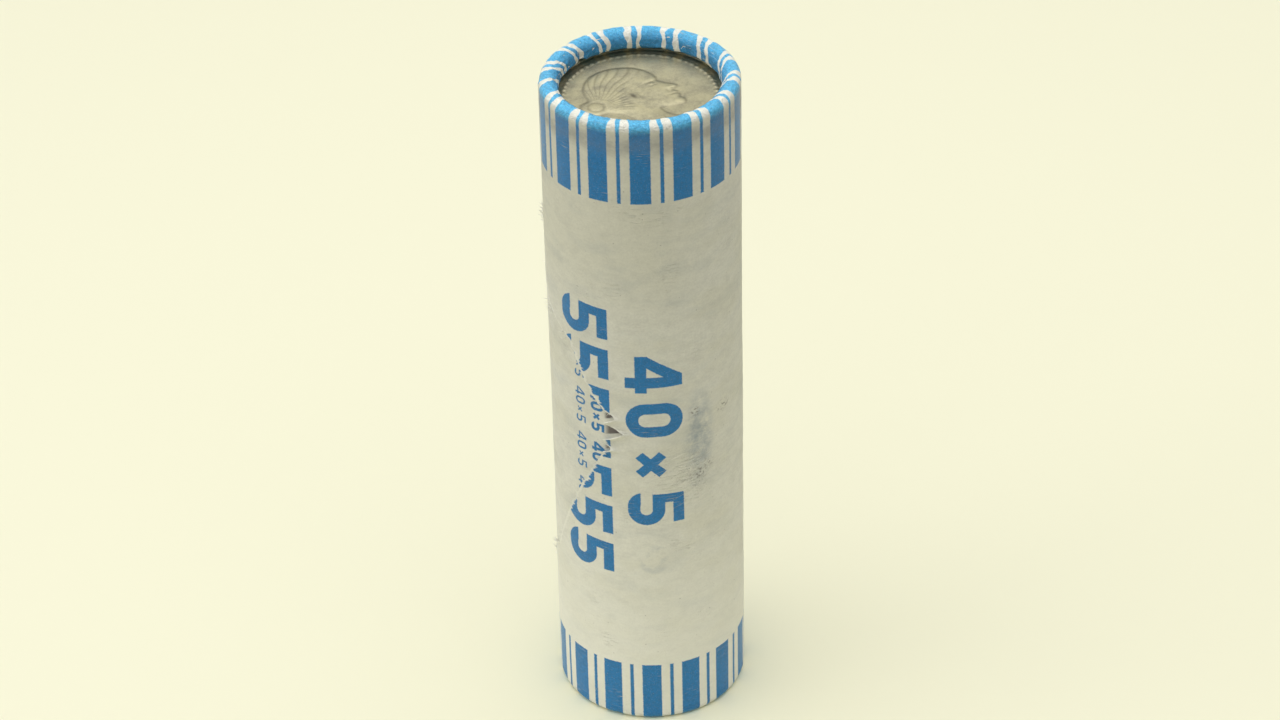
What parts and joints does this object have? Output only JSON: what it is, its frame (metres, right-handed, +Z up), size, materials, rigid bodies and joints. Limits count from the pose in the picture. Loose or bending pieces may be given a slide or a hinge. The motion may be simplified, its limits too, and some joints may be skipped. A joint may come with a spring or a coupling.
{
  "type": "coin roll",
  "caption": "Upright roll of loose coins wound in printed paper, with both paper ends rolled in to hold the stack.",
  "frame": {"origin": "centre of the base, on the surface that the roll stands on", "axes": "+Z up along the roll's axis; -Y faces the picture's camera, +X is to its right"},
  "size_m": [0.0221, 0.022, 0.0827],
  "materials": {
    "paper": "matte",
    "coin_metal": "satin"
  },
  "bodies": {
    "wrapper": {"wrapper": "paper"},
    "coin_01": {"coin_01": "coin_metal"},
    "coin_02": {"coin_02": "coin_metal"},
    "coin_03": {"coin_03": "coin_metal"},
    "coin_04": {"coin_04": "coin_metal"},
    "coin_05": {"coin_05": "coin_metal"},
    "coin_06": {"coin_06": "coin_metal"},
    "coin_07": {"coin_07": "coin_metal"},
    "coin_08": {"coin_08": "coin_metal"},
    "coin_09": {"coin_09": "coin_metal"},
    "coin_10": {"coin_10": "coin_metal"},
    "coin_11": {"coin_11": "coin_metal"},
    "coin_12": {"coin_12": "coin_metal"},
    "coin_13": {"coin_13": "coin_metal"},
    "coin_14": {"coin_14": "coin_metal"},
    "coin_15": {"coin_15": "coin_metal"},
    "coin_16": {"coin_16": "coin_metal"},
    "coin_17": {"coin_17": "coin_metal"},
    "coin_18": {"coin_18": "coin_metal"},
    "coin_19": {"coin_19": "coin_metal"},
    "coin_20": {"coin_20": "coin_metal"},
    "coin_21": {"coin_21": "coin_metal"},
    "coin_22": {"coin_22": "coin_metal"},
    "coin_23": {"coin_23": "coin_metal"},
    "coin_24": {"coin_24": "coin_metal"},
    "coin_25": {"coin_25": "coin_metal"},
    "coin_26": {"coin_26": "coin_metal"},
    "coin_27": {"coin_27": "coin_metal"},
    "coin_28": {"coin_28": "coin_metal"},
    "coin_29": {"coin_29": "coin_metal"},
    "coin_30": {"coin_30": "coin_metal"},
    "coin_31": {"coin_31": "coin_metal"},
    "coin_32": {"coin_32": "coin_metal"},
    "coin_33": {"coin_33": "coin_metal"},
    "coin_34": {"coin_34": "coin_metal"},
    "coin_35": {"coin_35": "coin_metal"},
    "coin_36": {"coin_36": "coin_metal"},
    "coin_37": {"coin_37": "coin_metal"},
    "coin_38": {"coin_38": "coin_metal"},
    "coin_39": {"coin_39": "coin_metal"},
    "coin_40": {"coin_40": "coin_metal"}
  },
  "joints": [
    {"name": "coin_01_spin", "type": "hinge", "parent": "wrapper", "child": "coin_01", "pos_m": [0, 0, 0], "axis": [0, 0, 1], "continuous": true},
    {"name": "coin_02_spin", "type": "hinge", "parent": "wrapper", "child": "coin_02", "pos_m": [0, 0, 0], "axis": [0, 0, 1], "continuous": true},
    {"name": "coin_03_spin", "type": "hinge", "parent": "wrapper", "child": "coin_03", "pos_m": [0, 0, 0], "axis": [0, 0, 1], "continuous": true},
    {"name": "coin_04_spin", "type": "hinge", "parent": "wrapper", "child": "coin_04", "pos_m": [0, 0, 0], "axis": [0, 0, 1], "continuous": true},
    {"name": "coin_05_spin", "type": "hinge", "parent": "wrapper", "child": "coin_05", "pos_m": [0, 0, 0], "axis": [0, 0, 1], "continuous": true},
    {"name": "coin_06_spin", "type": "hinge", "parent": "wrapper", "child": "coin_06", "pos_m": [0, 0, 0], "axis": [0, 0, 1], "continuous": true},
    {"name": "coin_07_spin", "type": "hinge", "parent": "wrapper", "child": "coin_07", "pos_m": [0, 0, 0], "axis": [0, 0, 1], "continuous": true},
    {"name": "coin_08_spin", "type": "hinge", "parent": "wrapper", "child": "coin_08", "pos_m": [0, 0, 0], "axis": [0, 0, 1], "continuous": true},
    {"name": "coin_09_spin", "type": "hinge", "parent": "wrapper", "child": "coin_09", "pos_m": [0, 0, 0], "axis": [0, 0, 1], "continuous": true},
    {"name": "coin_10_spin", "type": "hinge", "parent": "wrapper", "child": "coin_10", "pos_m": [0, 0, 0], "axis": [0, 0, 1], "continuous": true},
    {"name": "coin_11_spin", "type": "hinge", "parent": "wrapper", "child": "coin_11", "pos_m": [0, 0, 0], "axis": [0, 0, 1], "continuous": true},
    {"name": "coin_12_spin", "type": "hinge", "parent": "wrapper", "child": "coin_12", "pos_m": [0, 0, 0], "axis": [0, 0, 1], "continuous": true},
    {"name": "coin_13_spin", "type": "hinge", "parent": "wrapper", "child": "coin_13", "pos_m": [0, 0, 0], "axis": [0, 0, 1], "continuous": true},
    {"name": "coin_14_spin", "type": "hinge", "parent": "wrapper", "child": "coin_14", "pos_m": [0, 0, 0], "axis": [0, 0, 1], "continuous": true},
    {"name": "coin_15_spin", "type": "hinge", "parent": "wrapper", "child": "coin_15", "pos_m": [0, 0, 0], "axis": [0, 0, 1], "continuous": true},
    {"name": "coin_16_spin", "type": "hinge", "parent": "wrapper", "child": "coin_16", "pos_m": [0, 0, 0], "axis": [0, 0, 1], "continuous": true},
    {"name": "coin_17_spin", "type": "hinge", "parent": "wrapper", "child": "coin_17", "pos_m": [0, 0, 0], "axis": [0, 0, 1], "continuous": true},
    {"name": "coin_18_spin", "type": "hinge", "parent": "wrapper", "child": "coin_18", "pos_m": [0, 0, 0], "axis": [0, 0, 1], "continuous": true},
    {"name": "coin_19_spin", "type": "hinge", "parent": "wrapper", "child": "coin_19", "pos_m": [0, 0, 0], "axis": [0, 0, 1], "continuous": true},
    {"name": "coin_20_spin", "type": "hinge", "parent": "wrapper", "child": "coin_20", "pos_m": [0, 0, 0], "axis": [0, 0, 1], "continuous": true},
    {"name": "coin_21_spin", "type": "hinge", "parent": "wrapper", "child": "coin_21", "pos_m": [0, 0, 0], "axis": [0, 0, 1], "continuous": true},
    {"name": "coin_22_spin", "type": "hinge", "parent": "wrapper", "child": "coin_22", "pos_m": [0, 0, 0], "axis": [0, 0, 1], "continuous": true},
    {"name": "coin_23_spin", "type": "hinge", "parent": "wrapper", "child": "coin_23", "pos_m": [0, 0, 0], "axis": [0, 0, 1], "continuous": true},
    {"name": "coin_24_spin", "type": "hinge", "parent": "wrapper", "child": "coin_24", "pos_m": [0, 0, 0], "axis": [0, 0, 1], "continuous": true},
    {"name": "coin_25_spin", "type": "hinge", "parent": "wrapper", "child": "coin_25", "pos_m": [0, 0, 0], "axis": [0, 0, 1], "continuous": true},
    {"name": "coin_26_spin", "type": "hinge", "parent": "wrapper", "child": "coin_26", "pos_m": [0, 0, 0], "axis": [0, 0, 1], "continuous": true},
    {"name": "coin_27_spin", "type": "hinge", "parent": "wrapper", "child": "coin_27", "pos_m": [0, 0, 0], "axis": [0, 0, 1], "continuous": true},
    {"name": "coin_28_spin", "type": "hinge", "parent": "wrapper", "child": "coin_28", "pos_m": [0, 0, 0], "axis": [0, 0, 1], "continuous": true},
    {"name": "coin_29_spin", "type": "hinge", "parent": "wrapper", "child": "coin_29", "pos_m": [0, 0, 0], "axis": [0, 0, 1], "continuous": true},
    {"name": "coin_30_spin", "type": "hinge", "parent": "wrapper", "child": "coin_30", "pos_m": [0, 0, 0], "axis": [0, 0, 1], "continuous": true},
    {"name": "coin_31_spin", "type": "hinge", "parent": "wrapper", "child": "coin_31", "pos_m": [0, 0, 0], "axis": [0, 0, 1], "continuous": true},
    {"name": "coin_32_spin", "type": "hinge", "parent": "wrapper", "child": "coin_32", "pos_m": [0, 0, 0], "axis": [0, 0, 1], "continuous": true},
    {"name": "coin_33_spin", "type": "hinge", "parent": "wrapper", "child": "coin_33", "pos_m": [0, 0, 0], "axis": [0, 0, 1], "continuous": true},
    {"name": "coin_34_spin", "type": "hinge", "parent": "wrapper", "child": "coin_34", "pos_m": [0, 0, 0], "axis": [0, 0, 1], "continuous": true},
    {"name": "coin_35_spin", "type": "hinge", "parent": "wrapper", "child": "coin_35", "pos_m": [0, 0, 0], "axis": [0, 0, 1], "continuous": true},
    {"name": "coin_36_spin", "type": "hinge", "parent": "wrapper", "child": "coin_36", "pos_m": [0, 0, 0], "axis": [0, 0, 1], "continuous": true},
    {"name": "coin_37_spin", "type": "hinge", "parent": "wrapper", "child": "coin_37", "pos_m": [0, 0, 0], "axis": [0, 0, 1], "continuous": true},
    {"name": "coin_38_spin", "type": "hinge", "parent": "wrapper", "child": "coin_38", "pos_m": [0, 0, 0], "axis": [0, 0, 1], "continuous": true},
    {"name": "coin_39_spin", "type": "hinge", "parent": "wrapper", "child": "coin_39", "pos_m": [0, 0, 0], "axis": [0, 0, 1], "continuous": true},
    {"name": "coin_40_spin", "type": "hinge", "parent": "wrapper", "child": "coin_40", "pos_m": [0, 0, 0], "axis": [0, 0, 1], "continuous": true}
  ]
}
